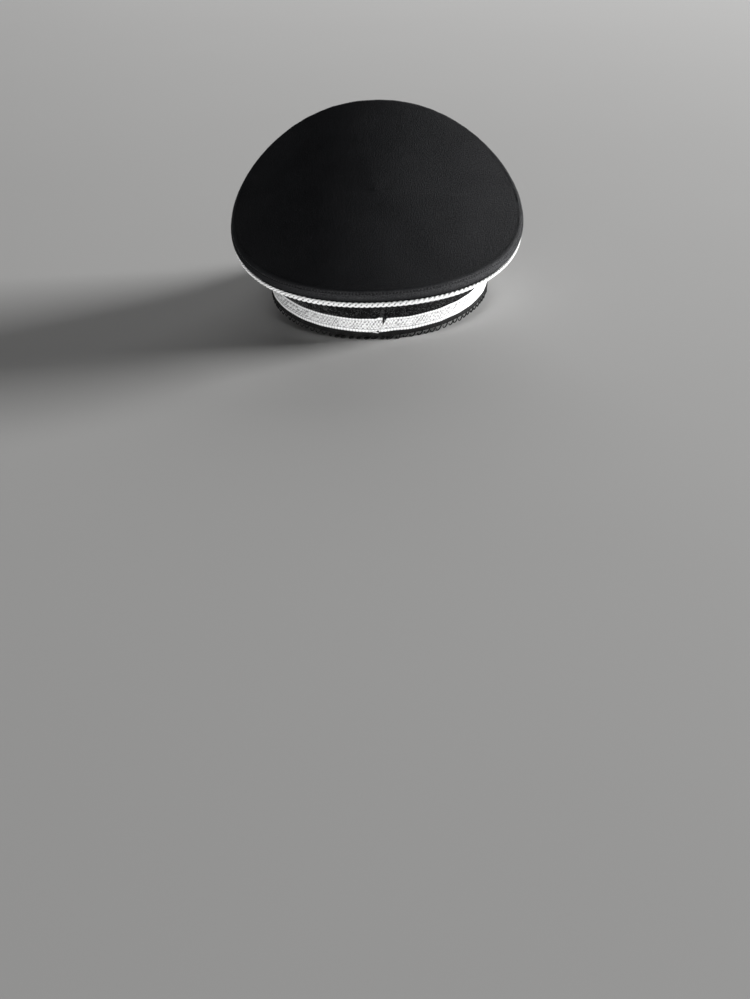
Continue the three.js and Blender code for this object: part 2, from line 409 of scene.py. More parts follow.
# How far threads and fibres stand out of the gaps between them. The cloth colours paint shade into the low
# places from it: painted shade in the gaps
def makeGapShade():
    tree, given = newGroup(
        "clothGapShade", {"Threads": 0.0, "Fibres": 0.0, "Thread Share": 0.3, "Fibre Share": 0.8}
    )
    fuzzy = spread(tree, given["Fibres"], 0.42, 0.58, 0, given["Fibre Share"])
    return finishGroup(
        tree, {"Height": calc(tree, "MULTIPLY_ADD", given["Threads"], given["Thread Share"], fuzzy)}
    )


# How high the cloth stands between the dips of a stitched row: the map "run" follows the row. The crown
# also paints shade into the dips from it
def makeDips():
    tree, given = newGroup("stitchDips", {"Run": None, "Pitch mm": 2.5, "Reach mm": 1.0})
    run = addNode(tree, "ShaderNodeSeparateXYZ", {0: given["Run"]}).outputs
    phase = calc(tree, "MULTIPLY", run[0], calc(tree, "DIVIDE", 2000 * math.pi, given["Pitch mm"]))
    beat = spread(tree, calc(tree, "COSINE", phase), -1, 1)
    reach = calc(tree, "DIVIDE", given["Reach mm"], 1000.0)
    near = spread(tree, calc(tree, "ABSOLUTE", run[1]), 0.0, reach, 1, 0)
    return finishGroup(
        tree, {"Height": calc(tree, "SUBTRACT", 1.0, calc(tree, "MULTIPLY", beat, near))}
    )


weaveGroup = makeWeave()
napGroup = makeNap()
rubGroup = makeRubbing()
gapShadeGroup = makeGapShade()
dipGroup = makeDips()


def newMaterial(name, surface):
    material = bpy.data.materials.new(name)
    material.use_nodes = True
    tree = material.node_tree
    tree.nodes.clear()
    madeTrees.append(tree)
    shader = addNode(tree, "ShaderNodeBsdfPrincipled", surface)
    addNode(tree, "ShaderNodeOutputMaterial", {"Surface": shader.outputs[0]})
    return material, tree, shader, addNode(tree, "ShaderNodeTexCoord").outputs["Object"]


# A material from the look of its piece. Each mask is an output of a group, or a mark of the mesh.
# threads is a mask and the colours at its low and high end. Each layer is a mask, where it starts
# and ends, the share that it covers and its colour. roughness and metallic are a mask, where it
# starts and ends and the two values there. A bump is a mask, its depth in mm and its strength.
def makeMaterial(name, look):
    material, tree, shader, place = newMaterial(name, look["surface"])
    masks = {}

    def mask(label):
        if label not in masks:
            masks[label] = addNode(tree, "ShaderNodeAttribute", attribute_name=label).outputs["Fac"]
        return masks[label]

    groups = {
        "weave": (weaveGroup, lambda: {"Lay": uvMap(tree, "lay")}),
        "nap": (napGroup, lambda: {"Place": place}),
        "rubbed": (rubGroup, lambda: {"Place": place, "Rub": mask("rub")}),
        "lifted": (gapShadeGroup, lambda: {"Threads": mask("weave Height"), "Fibres": mask("nap Height")}),
        "stitched": (dipGroup, lambda: {"Run": uvMap(tree, "run")}),
    }
    for part, (group, given) in groups.items():
        if part in look:
            node = addNode(tree, "ShaderNodeGroup", node_tree=group)
            setInputs(tree, node, {**given(), **look[part]})
            masks.update({part + " " + socket.name: socket for socket in node.outputs})
    colour = look.get("colour")
    if "threads" in look:
        label, dark, light = look["threads"]
        colour = blend(tree, mask(label), dark, light)
    for label, start, end, share, tint in look.get("layers", []):
        colour = blend(tree, spread(tree, mask(label), start, end, 0, share), colour, tint)
    tree.links.new(colour, shader.inputs["Base Color"])
    for key in ("roughness", "metallic"):
        if key in look:
            label, *ends = look[key]
            value = spread(tree, mask(label), *ends)
            if key == "roughness" and "wornRoughness" in look:
                value = calc(tree, "MULTIPLY_ADD", mask("rubbed Worn"), look["wornRoughness"], value)
            tree.links.new(value, shader.inputs[key.capitalize()])
    normal = None
    for label, depth, strength in look["bumps"]:
        inputs = {"Height": mask(label), "Distance": depth / 1000, "Strength": strength}
        if normal:
            inputs["Normal"] = normal
        normal = addNode(tree, "ShaderNodeBump", inputs).outputs[0]
    tree.links.new(normal, shader.inputs["Normal"])
    return material


# Crown: the domed top rolls over its edge; a stitched row and a crease run along the roll

topPanel = {
    "columns": 720,
    "domeRows": 34,
    "clothThickness": 1.6,
    "rollRadius": 5.5,
    "rollEnd": -100,
    "dome": 7,
    "slack": 0.5,
    "seamAngle": 30,
    "seamDepth": 0.42,
    "seamWidth": 0.7,
    "creaseAngle": 8,
    "creaseDepth": 0.34,
    "creaseWidth": 0.42,
    "grooveWander": 0.12,
    "swellAngle": 66,
    "swellWidth": 16,
    "swell": 0.16,
    "rubbedAndLitTowards": 125,
    "stitchPitch": 2.6,
    "stitchLength": 1.75,
    "stitchRadius": 0.17,
}
crownLook = {
    "surface": {
        "Sheen Weight": 0.002,
        "Sheen Roughness": 0.5,
        "Sheen Tint": (0.62, 0.64, 0.70, 1),
        "Specular IOR Level": 0.19,
        "Specular Tint": (0.90, 0.93, 1.0, 1),
    },
    "weave": {"Threads per mm": 1.3, "Slant": 0.8, "Unevenness": 0.5},
    "nap": {"Fibre mm": 1.1, "Patch mm": 46, "Dust": 0.35},
    "rubbed": {"Amount": 1.0, "Grain mm": 0.9},
    "lifted": {"Thread Share": 0.3, "Fibre Share": 0.85},
    "threads": ("weave Thread Tone", (0.0004, 0.0004, 0.0005), (0.0046, 0.0046, 0.0051)),
    "layers": [
        ("nap Mottle", 0, 1, 1, (0.0078, 0.0078, 0.0085)),
        # painted shade: the cloth darkens in the gaps between its threads and fibres
        ("lifted Height", 1, 0, 1, (0.0004, 0.0004, 0.0005)),
        # lighter where rubbed: wear, and on the roll of the top partly painted light
        ("rubbed Worn", 0, 1, 1, (0.048, 0.048, 0.050)),
        ("nap Dust", 0, 1, 1, (0.05, 0.05, 0.052)),
    ],
    "roughness": ("nap Height", 0.40, 0.60, 0.76, 1.0),
    "bumps": [("weave Height", 0.24, 1.0), ("nap Height", 0.62, 0.9)],
}
stitchedLook = {
    **crownLook,
    "stitched": {"Pitch mm": topPanel["stitchPitch"], "Reach mm": 1.0},
    # painted shade: darker in the dips of the stitched row
    "layers": [*crownLook["layers"], ("stitched Height", 1, 0, 1, (0.00014, 0.00014, 0.000175))],
    "bumps": [*crownLook["bumps"], ("stitched Height", 0.45, 1.0)],
}
crownCloth = makeMaterial("crownCloth", stitchedLook)


def topSurface(degrees, radius, shares, turns):
    degrees = degrees[:, None]
    oval, facing = crownOval(degrees)
    angle = np.radians(degrees)
    slope = (
        capForm["frontRise"] * np.cos(angle)
        + 2 * capForm["saddle"] * shares * np.cos(2 * angle)
        + 3 * capForm["frontPoint"] * shares**2 * np.cos(3 * angle)
        - 2 * topPanel["dome"] * shares
    )
    lean = np.arctan(slope / np.linalg.norm(oval, axis=-1))
    height = crownHeight(degrees, shares) + topPanel["dome"] * (1 - shares**2)
    flat = oval * shares[..., None] - facing * (radius * np.sin(lean))[..., None]
    dome = withHeight(flat, height + radius * np.cos(lean))
    start = 90 + np.degrees(lean[:, -1:])
    turn = start + (topPanel["rollEnd"] - start) * turns
    bend = np.radians(turn)
    roll = edgePoint(degrees, radius * np.cos(bend), radius * np.sin(bend))
    return np.concatenate([dome, roll], 1), turn


def makeTop():
    distance = np.arange(topPanel["columns"]) * edgeLine.length / topPanel["columns"]
    degrees = edgeLine.at(distance)
    dome = topPanel["domeRows"]
    shares = 1 - (1 - np.linspace(0.03, 1, dome)) ** 1.15
    radius = topPanel["rollRadius"]
    outer, turn = topSurface(degrees, radius, shares, np.linspace(0, 1, 47)[1:])
    # the inside has every third row
    thin = radius - topPanel["clothThickness"]
    inner = topSurface(degrees, thin, shares[::3], np.linspace(0, 1, 15)[1:])[0]
    # soft slack of the cloth, fading towards the roll
    wave = (5 * unevenness(degrees, 11, 2, 5) + unevenness(degrees, 12, 7, 14))[:, None]
    wave = wave * shares**3 * (1 - shares) * topPanel["slack"]
    outer[:, :dome, 2] += wave
    inner[:, : len(shares[::3]), 2] += wave[:, ::3]
    # grooves on the roll, and a swelling above them
    oval, facing = crownOval(degrees[:, None])
    pull = np.zeros_like(turn)
    for key, seed in (("seam", 21), ("crease", 22)):
        away = np.radians(turn - topPanel[key + "Angle"]) * radius
        away = away + topPanel["grooveWander"] * unevenness(degrees, seed, 20, 60)[:, None]
        depth = topPanel[key + "Depth"] * (1 + 0.35 * unevenness(degrees, seed + 4, 25, 90)[:, None])
        pull += depth * hump(away, topPanel[key + "Width"])
    swell = topPanel["swell"] * (1 + 0.5 * unevenness(degrees, 23, 18, 70)[:, None])
    pull -= swell * hump(turn - topPanel["swellAngle"], topPanel["swellWidth"])
    bend = np.radians(turn)
    outer[:, dome:, :2] -= facing * (pull * np.cos(bend))[..., None]
    outer[:, dome:, 2] -= pull * np.sin(bend)
    grid = closeWall(outer, inner)
    # the weave lies straight across the top and follows the roll down
    size = np.linalg.norm(oval, axis=-1)
    reach = np.concatenate([shares * size, size + np.radians(turn[:, :1] - turn) * radius], 1)
    lay = unit(oval) * reach[..., None]
    back = np.concatenate([lay[:, :dome][:, ::3], lay[:, dome:][:, 2:44:3]], 1)
    # worn and painted lighter most at the back, towards the right where the key light falls: partly wear,
    # partly painted light
    roll = slice(dome, outer.shape[1])
    rub = np.zeros(grid.shape[:2])
    rub[:, roll] = smoothStep(turn, -50, 0) * (1 - smoothStep(turn, 30, 62))
    most = np.clip(0.45 + np.cos(np.radians(degrees - topPanel["rubbedAndLitTowards"])), 0.05, 1)
    rub *= (most * smoothStep(degrees % 360, 85, 130))[:, None]
    lay = closeWall(lay, back)
    piece = wallPiece("topPanel", grid, lay, crownCloth, {"rub": rub}, ring=True, dome=True)
    # a second map runs along the edge and across the stitched row, for the dimples
    across = np.full(grid.shape[:2], 50.0)
    across[:, roll] = np.radians(turn - topPanel["seamAngle"]) * radius
    along = np.broadcast_to(distance[:, None], across.shape)
    addRunMap(piece, along.reshape(-1), across.reshape(-1), edgeLine.length)
    return piece


def addRunMap(piece, along, across, length):
    mesh = piece.data
    corners = np.zeros(len(mesh.loops), np.int32)
    mesh.loops.foreach_get("vertex_index", corners)
    starts = np.zeros(len(mesh.polygons), np.int32)
    mesh.polygons.foreach_get("loop_start", starts)
    along = np.concatenate([along, [0, 0]])[corners]
    across = np.concatenate([across, [50, 50]])[corners]
    face = np.searchsorted(starts, np.arange(len(corners)), side="right") - 1
    largest = np.maximum.reduceat(along, starts)[face]
    along = np.where(largest - along > length / 2, along + length, along)
    layer = mesh.uv_layers.new(name="run")
    layer.data.foreach_set("uv", (np.stack([along, across], 1) / 1000).astype(np.float32).ravel())
    mesh.uv_layers.active = mesh.uv_layers["lay"]


# Thread for stitches and loose ends: twisted and slightly shiny, with painted shade in the grooves of its
# twist
def makeThread(name, colour, roughness):
    look = {
        "surface": {"Sheen Weight": 0.2, "Sheen Roughness": 0.4, "Specular IOR Level": 0.45},
        "weave": {"Threads per mm": 3.0, "Slant": 1.0, "Unevenness": 0.2},
        # painted shade: darker where the weave's relief is low, in the grooves
        "threads": ("weave Height", tuple(0.45 * part for part in colour), colour),
        "roughness": ("weave Thread Tone", 0, 1, roughness - 0.08, roughness + 0.08),
        "bumps": [("weave Height", 0.05, 0.8)],
    }
    return makeMaterial(name, look)


blackThread = makeThread("blackThread", (0.016, 0.016, 0.018), 0.6)


# A row of stitches along the roll, each dipping into the cloth at its ends
def makeTopStitches():
    count = int(edgeLine.length / topPanel["stitchPitch"])
    random = np.random.default_rng(31)
    middle = (np.arange(count) + 0.5) * edgeLine.length / count + random.normal(0, 0.06, count)
    share = np.linspace(-1, 1, 7)
    degrees = edgeLine.at(middle[:, None] + share * topPanel["stitchLength"] / 2)
    radius = topPanel["rollRadius"] - topPanel["seamDepth"] + 0.14 - 0.42 * share**4
    bend = np.radians(topPanel["seamAngle"] + random.normal(0, 0.5, count))[:, None]
    paths = edgePoint(degrees, radius * np.cos(bend), radius * np.sin(bend))
    facing = withHeight(crownOval(degrees)[1] * np.cos(bend)[..., None], np.sin(bend))
    return strandPiece("topStitches", paths, topPanel["stitchRadius"], facing, 6, blackThread)


topPiece = makeTop()
topStitchPiece = makeTopStitches()
print("Top panel and its stitched row made")

# Side panels of the crown, each from one upright seam to the next

quarterPanel = {
    "panels": {
        "quarter_front": (-48, 48),
        "quarter_right": (48, 132),
        "quarter_back": (132, 228),
        "quarter_left": (228, 312),
    },
    "rows": 24,
    "columnStep": 0.8,
    "bulge": 8,
    "edgeOut": 0.55,
    "edgeDown": 7,
    "seamRound": 1.6,
    "seamTuck": 0.7,
    "slack": 0.4,
    "pucker": 0.12,
    "puckerBeat": 34,
    "puckerReach": 4,
    "layRadius": 105,
    "rubbing": 0.35,
}


def makeQuarter(node, start, stop, seed):
    perMm = math.degrees(1 / capForm["bandHalfWidth"])
    fine = np.array([0, 0.25, 0.5, 0.8, 1.2, 1.8, 2.6, 3.6]) * perMm
    inside = np.arange(start + 5 * perMm, stop - 5 * perMm, quarterPanel["columnStep"])
    degrees = np.concatenate([start + fine, inside, (stop - fine)[::-1]])
    foot = bandPoint(degrees, 0, capForm["bandTop"] + capForm["gap"])
    head = edgePoint(degrees, 0, -quarterPanel["edgeDown"])
    outwards = (head - foot) * [1, 1, 0]
    length = np.linalg.norm(outwards, axis=1)
    outwards /= length[:, None]
    chord = np.arctan2(head[:, 2] - foot[:, 2], length)
    half = topPanel["clothThickness"] / 2
    up = np.array([0, 0, 1.0])

    def moved(origin, out, rise):
        return origin + outwards * np.asarray(out)[..., None] + up * np.asarray(rise)[..., None]

    # a curve from foot to head through two guiding points, bulging outwards
    footAngle = chord - math.radians(quarterPanel["bulge"])
    headAngle = chord + math.radians(quarterPanel["bulge"])
    first = moved(foot, -half - 0.75 * half * np.cos(footAngle), half * np.cos(footAngle))
    last = moved(head, quarterPanel["edgeOut"] - half * np.sin(headAngle), half * np.sin(headAngle))
    pull = np.linalg.norm(last - first, axis=1) / 3
    second = moved(first, pull * np.cos(footAngle), pull * np.sin(footAngle))
    third = moved(last, -pull * np.cos(headAngle), -pull * np.sin(headAngle))
    share = np.linspace(0, 1, quarterPanel["rows"])[None, :, None]
    first, second, third, last = (part[:, None] for part in (first, second, third, last))
    curve = (
        first * (1 - share) ** 3
        + second * 3 * share * (1 - share) ** 2
        + third * 3 * share**2 * (1 - share)
        + last * share**3
    )
    ahead = unit(np.gradient(curve, axis=1))
    along = (ahead * outwards[:, None]).sum(-1)
    outside = outwards[:, None] * ahead[..., 2:] - up * along[..., None]
    row = share[..., 0]
    # the turned edges of the seams sink in, and the cloth between them is a little slack
    toSeam = np.minimum(degrees - start, stop - degrees)[:, None] / perMm
    near = np.clip(1 - toSeam / quarterPanel["seamRound"], 0, 1)
    tuck = quarterPanel["seamTuck"] * (1 - np.sqrt(1 - near**2))
    free = np.sin(np.pi * row)
    slack = quarterPanel["slack"] * free * smoothStep(toSeam, 0, 12)
    wave = slack * (unevenness(degrees[:, None] + 14 * row, seed, 5, 16))
    ripple = np.sin(row * quarterPanel["puckerBeat"] + seed)
    pucker = quarterPanel["pucker"] * ripple * np.exp(-toSeam / quarterPanel["puckerReach"]) * free
    outer = curve + outside * (half - tuck + wave + pucker)[..., None]
    inner = curve - outside * (half - wave)[..., None]
    climb = np.cumsum(np.linalg.norm(np.diff(curve, axis=1, prepend=curve[:, :1]), axis=-1), 1)
    lay = pairs(np.radians(degrees)[:, None] * quarterPanel["layRadius"], climb)
    rub = np.concatenate([0.6 * near**2 * np.ones_like(climb), np.zeros_like(climb)], 1)
    name = node.replace("quarter_", "quarter") + "Cloth"
    return wallPiece(name, closeWall(outer, inner), closeWall(lay, lay), sideCloth, {"rub": rub})


sideLook = {**crownLook, "rubbed": {"Amount": quarterPanel["rubbing"], "Grain mm": 0.9}}
sideCloth = makeMaterial("sideCloth", sideLook)
quarterPieces = {
    node: makeQuarter(node, start, stop, 40 + order)
    for order, (node, (start, stop)) in enumerate(quarterPanel["panels"].items())
}
print("Four side panels made")

# Piping: a white cord of two twisted strands, sewn in under the roll

piping = {
    "out": 3.1,
    "down": 7.4,
    "lay": 8.8,
    "strandRadius": 1.32,
    "strandOut": 0.78,
    "stepsPerTurn": 18,
    "sides": 12,
    "tightSides": (0.35, 0.95),
    "tightRise": 0.7,
    "tightSlim": 0.38,
    "openFrom": (158, 177),
    "openTo": (208, 238),
    "closedMerge": 0.3,
    "closedGrooveShade": 0.75,
    "uneven": 0.22,
}
pipingLook = {
    "surface": {"Sheen Weight": 0.25, "Sheen Roughness": 0.3, "Specular IOR Level": 0.45},
    "weave": {"Threads per mm": 1.5, "Slant": 2.2, "Unevenness": 0.35},
    "nap": {"Fibre mm": 0.35, "Patch mm": 14.0, "Dust": 0.25},
    # painted shade: darker where the weave's relief is low, in the grooves
    "threads": ("weave Height", (0.84, 0.84, 0.843), (0.97, 0.97, 0.967)),
    "layers": [
        ("nap Mottle", 0, 1, 0.15, (0.82, 0.82, 0.81)),
        # painted shade in the groove between the two strands
        ("grooveShade", 0.16, 0.42, 1, (0.06, 0.06, 0.061)),
        ("nap Dust", 0, 1, 1, (0.32, 0.31, 0.30)),
    ],
    "roughness": ("weave Thread Tone", 0, 1, 0.40, 0.62),
    "bumps": [("weave Height", 0.12, 1.0), ("nap Height", 0.08, 0.8)],
}


def makePiping():
    def middleOf(degrees):
        return edgePoint(degrees, piping["out"], -piping["down"])

    line = RoundLine(middleOf)
    count = round(line.length / piping["lay"]) * piping["stepsPerTurn"]
    degrees = line.at(np.arange(count) * line.length / count)
    centre = middleOf(degrees)
    # at the sides the cord is pulled tight and up into the seam
    tight = smoothStep(np.abs(np.sin(np.radians(degrees))), *piping["tightSides"])
    centre[:, 2] += piping["tightRise"] * tight
    slim = 1 - piping["tightSlim"] * tight
    ahead = unit(np.roll(centre, -1, 0) - np.roll(centre, 1, 0))
    facing = squareTo(ahead, withHeight(crownOval(degrees)[1], 0.0))
    beside = np.cross(ahead, facing)
    phase = -2 * np.pi * np.arange(count) / piping["stepsPerTurn"]
    phase = phase + piping["uneven"] * unevenness(degrees, 51, 8, 40)
    halves = [phase, phase + np.pi]
    away = np.stack([np.cos(half)[:, None] * facing + np.sin(half)[:, None] * beside for half in halves])
    # towards the right of the back the twist is closed, the strands lie closer and less shade is painted
    # between them
    angle = degrees % 360
    closed = np.maximum(1 - smoothStep(angle, *piping["openFrom"]), smoothStep(angle, *piping["openTo"]))
    apart = piping["strandOut"] * slim * (1 - piping["closedMerge"] * closed)
    paths = centre + apart[:, None] * away
    # the groove between the strands is painted dark, most where it faces outwards: painted shade
    turn = np.arange(piping["sides"]) * 2 * np.pi / piping["sides"]
    inwards = 0.5 - 0.5 * np.cos(turn)
    lean = away * (piping["strandOut"] + piping["strandRadius"] * np.cos(turn))[:, None, None, None]
    lean = lean + np.cross(ahead, away) * (piping["strandRadius"] * np.sin(turn))[:, None, None, None]
    lean = np.moveaxis(unit(lean), 0, 2)
    outer = facing * math.cos(0.3) + np.array([0, 0, math.sin(0.3)])
    middle = np.clip((lean * outer[:, None]).sum(-1), 0, 1)
    grooveShade = inwards * 1.08 * middle**8 * (1 - piping["closedGrooveShade"] * closed[:, None])
    cord = makeMaterial("whiteCord", pipingLook)
    radii, marks = piping["strandRadius"] * slim, {"grooveShade": grooveShade}
    return strandPiece("crownPiping", paths, radii, away, piping["sides"], cord, closed=True, marks=marks)


pipingPiece = makePiping()
print("Twisted piping made")

# Head band: brushed cloth with a seam at the centre back

headBand = {
    "thickness": 2.4,
    "edgeRound": 0.8,
    "columns": 540,
    "seamAt": -1.3,
    "seamWidth": 0.5,
    "seamDepth": 0.75,
    "seamLips": 0.22,
    "lipsAt": 1.1,
    "lipsWidth": 0.6,
    "slack": 0.12,
    "hairs": 5200,
    "hairRoots": (17.6, 34.2),
    "hairEnds": (17.3, 34.4),
    "hairLength": 1.7,
    "hairRadius": 0.12,
    "hairLift": (0.15, 0.55),
    "frayed": 60,
    "frayedRoots": (13.5, 33),
    "frayedEnds": (13, 34.3),
    "frayedLength": (1.2, 3.4),
    "frayedRadius": 0.1,
}
bandLook = {
    "surface": {
        "Sheen Weight": 0.02,
        "Sheen Roughness": 0.5,
        "Sheen Tint": (0.60, 0.60, 0.63, 1),
        "Specular IOR Level": 0.05,
    },
    "weave": {"Threads per mm": 0.9, "Slant": 0.0, "Unevenness": 0.5},
    "nap": {"Fibre mm": 1.4, "Patch mm": 3.4, "Dust": 0.7},
    "rubbed": {"Amount": 0.5, "Grain mm": 0.9},
    "lifted": {"Thread Share": 0.3, "Fibre Share": 0.85},
    "threads": ("weave Thread Tone", (0.0006, 0.0006, 0.0007), (0.0034, 0.0034, 0.0037)),
    "layers": [
        ("nap Mottle", 0, 1, 1, (0.0130, 0.0130, 0.0134)),
        # painted shade: the cloth darkens in the gaps between its threads and fibres
        ("lifted Height", 1, 0, 1, (0.0006, 0.0006, 0.0007)),
        ("rubbed Worn", 0, 1, 1, (0.020, 0.020, 0.021)),
        ("nap Dust", 0, 1, 1, (0.09, 0.09, 0.09)),
    ],
    "roughness": ("nap Height", 0.40, 0.60, 0.88, 0.98),
    "bumps": [("weave Height", 0.08, 1.0), ("nap Height", 0.7, 0.9)],
}
bandCloth = makeMaterial("bandCloth", bandLook)


def makeBand():
    seam, length = headBand["seamAt"], bandLine.length
    beside = np.array([0.15, 0.35, 0.6, 1, 1.6, 2.4])
    fine = seam + np.concatenate([-beside[::-1], [0], beside])
    even = np.arange(headBand["columns"]) * length / headBand["columns"]
    wrapped = (even - seam + length / 2) % length - length / 2
    distance = np.sort(np.concatenate([even[np.abs(wrapped) > 3], fine % length]))
    degrees = bandLine.at(distance)[:, None]
    thick, soft = headBand["thickness"], headBand["edgeRound"]
    top, bottom = capForm["bandTop"], capForm["bandBottom"]
    bend = np.radians([90, 60, 30, 0])
    corner = -soft + soft * np.cos(bend)
    outs = np.concatenate([corner, np.zeros(13), corner[::-1], [-thick] * 5])
    face = np.linspace(top - soft - 1, bottom + soft + 1, 13)
    corner = soft - soft * np.sin(bend)
    heights = np.concatenate([top - corner, face, (bottom + corner)[::-1], np.linspace(bottom, top, 5)])
    away = ((distance - seam + 50) % length - 50)[:, None]
    outside = (outs > -thick + 0.1).astype(float)
    groove = headBand["seamDepth"] * hump(away, headBand["seamWidth"])
    lips = headBand["seamLips"] * hump(np.abs(away) - headBand["lipsAt"], headBand["lipsWidth"])
    wave = headBand["slack"] * unevenness(degrees + heights * 0.3, 61, 8, 30)
    outs = outs + outside * (lips - groove + wave * smoothStep(outs, -0.5, -0.1))
    grid = bandPoint(degrees, outs, heights)
    lay = pairs(distance[:, None], heights)
    rub = outside * (smoothStep(heights, top - 2, top) + 0.8 * hump(np.abs(away) - 0.9, 0.5))
    return wallPiece("bandCloth", grid, lay, bandCloth, {"rub": rub}, ring=True, period=length)


# Short loose fibres over the brushed cloth that shows between the piping and the lace
def makeNapHairs():
    random = np.random.default_rng(71)
    count = headBand["hairs"]
    distance = random.uniform(0, bandLine.length, count)
    height = random.uniform(*headBand["hairRoots"], count)
    heading = random.uniform(0, 2 * np.pi, count)
    length = headBand["hairLength"] * random.uniform(0.5, 1.5, count)[:, None]
    share = np.linspace(0, 1, 4)
    heading = heading[:, None] + random.normal(0, 0.8, count)[:, None] * share
    along = distance[:, None] + np.cos(heading) * length * share
    heights = np.clip(height[:, None] + np.sin(heading) * length * share, *headBand["hairEnds"])
    lift = random.uniform(*headBand["hairLift"], count)[:, None]
    out = -0.1 + lift * np.sin(np.pi * share * 0.8)
    # a few fibres are matted together into thicker tufts
    thick = headBand["hairRadius"] * (0.8 + 1.7 * random.uniform(0, 1, count)[:, None] ** 5)
    return bandStrands("bandNap", along, out, heights, thick * (1 - 0.6 * share), 3, blackFuzz)


# Frayed thread ends standing out of the centre back seam
def makeFrayedEnds():
    random = np.random.default_rng(72)
    count = headBand["frayed"]
    share = np.linspace(0, 1, 7)
    height = random.uniform(*headBand["frayedRoots"], count)
    start = headBand["seamAt"] + random.normal(0, 0.5, count) - 2.2 * (1 - smoothStep(height, 15, 19))
    lean = random.normal(0, 0.9, count)
    fall = random.uniform(-2.6, 1.4, count)
    length = random.uniform(*headBand["frayedLength"], count)
    along = start[:, None] + (lean * length)[:, None] * share * 0.7
    out = -0.3 + 1.35 * np.sin(share * np.pi * 0.62) * random.uniform(0.6, 1.1, count)[:, None]
    heights = np.clip(height[:, None] + fall[:, None] * share**1.6, *headBand["frayedEnds"])
    radii = headBand["frayedRadius"] * (1 - 0.5 * share)
    return bandStrands("seamThreads", along, out, heights, radii, 5, blackFuzz, (0.3, 0, 0.2))


blackFuzz = makeThread("blackFuzz", (0.07, 0.07, 0.072), 0.85)
bandPiece = makeBand()
napPiece = makeNapHairs()
frayedPiece = makeFrayedEnds()
print("Head band, its nap and frayed seam made")

# Lace: a woven ribbon with beaded edges, lapped at the centre back

lace = {
    "bottom": 6.4,
    "tall": 10.8,
    "columns": 2480,
    "degreesPerMm": 0.57,
    "base": 0.42,
    "pitch": 2.6,
    "selvage": 2.3,
    "selvageLift": 0.42,
    "upperEdge": 1.3,
    "upperLift": 0.3,
    "chevron": 2.7,
    "bead": 1.8,
    "ribLift": 0.34,
    "scallop": 0.42,
    "sway": 0.22,
    "lapLift": 0.62,
    "lapReach": (3.5, 12),
    "lapTop": (5.5, 9.5),
    "rightEnd": ([0, 5.8, 10.8], [2.2, -1.7, -4.5]),
    "leftEnd": ([0, 1.4, 5, 10.8], [2.2, -0.6, -1.0, -1.3]),
    "looseEnds": 16,
    "looseRadius": 0.09,
    "tailLength": 7.7,
    "tailRadius": 0.68,
}
laceLook = {
    "surface": {"Sheen Weight": 0.15, "Sheen Roughness": 0.3, "Specular IOR Level": 0.5},
    "weave": {"Threads per mm": 2.2, "Slant": 0.9, "Unevenness": 0.3},
    "nap": {"Fibre mm": 0.3, "Patch mm": 9.0, "Dust": 0.3},
    # painted shade: darker where the weave's relief is low, in the grooves
    "threads": ("weave Height", (0.82, 0.823, 0.828), (0.95, 0.952, 0.955)),
    "layers": [
        # painted shade: grey where the ribbon's relief is low, between the raised threads
        ("relief", 0.82, 0.04, 1, (0.16, 0.161, 0.164)),
        ("nap Mottle", 0, 1, 0.18, (0.60, 0.595, 0.58)),
        ("nap Dust", 0, 1, 1, (0.2, 0.2, 0.2)),
    ],
    "roughness": ("weave Thread Tone", 0, 1, 0.34, 0.54),
    "metallic": ("relief", 0, 1, 0.05, 0.3),
    "bumps": [("weave Height", 0.06, 1.0)],
}


def beadedEdge(across, middle, width, beat, least):
    section = np.clip(1 - ((across - middle) / (width / 2)) ** 2, 0, 1) ** 0.5
    return section * (least + (1 - least) * np.abs(np.sin(np.pi * beat)) ** 0.6)


# One seeded value for each crossing of the threads, from a table that repeats along the ribbon
def atCrossing(seed, low, high, rows, columns, row, column):
    table = np.random.default_rng(seed).uniform(low, high, (rows, columns))
    return table[np.floor(row).astype(int) % rows, np.floor(column).astype(int) % columns]


